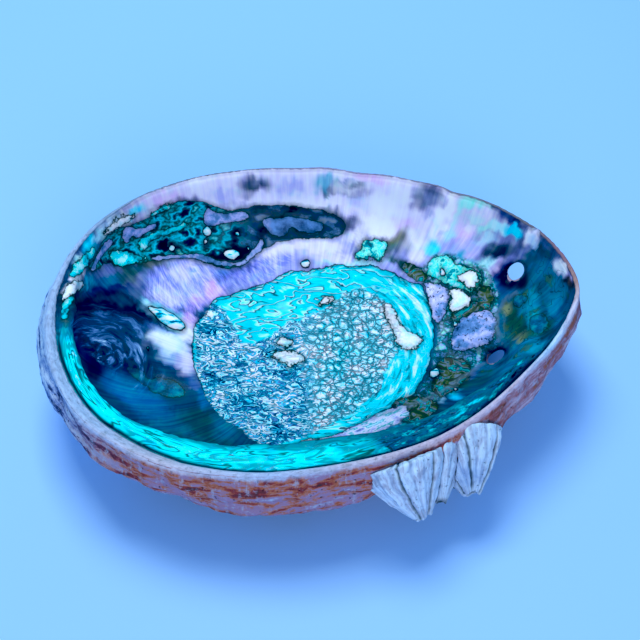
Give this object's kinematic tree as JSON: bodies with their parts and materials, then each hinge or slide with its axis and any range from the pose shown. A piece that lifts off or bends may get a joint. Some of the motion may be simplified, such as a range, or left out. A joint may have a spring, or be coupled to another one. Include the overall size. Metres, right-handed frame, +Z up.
{
  "type": "abalone shell",
  "caption": "Abalone shell lying on its back, open side up, with a flat inner shelf, a spiral row of holes and acorn barnacles grown under its lip.",
  "frame": {"origin": "under the middle of the whole object, on the surface it rests on", "axes": "+X from the spire to the growing end, +Y from the shelf to the growing edge, +Z up out of the open side"},
  "size_m": [0.2036, 0.1528, 0.0505],
  "materials": {
    "nacre": "glossy iridescent inside, rough and dull outside",
    "chalk": "matt, fluted"
  },
  "bodies": {
    "root": {"shell": "nacre", "barnacle_large": "chalk", "barnacle_wedge": "chalk", "barnacle_right": "chalk", "barnacle_small": "chalk"}
  },
  "joints": []
}
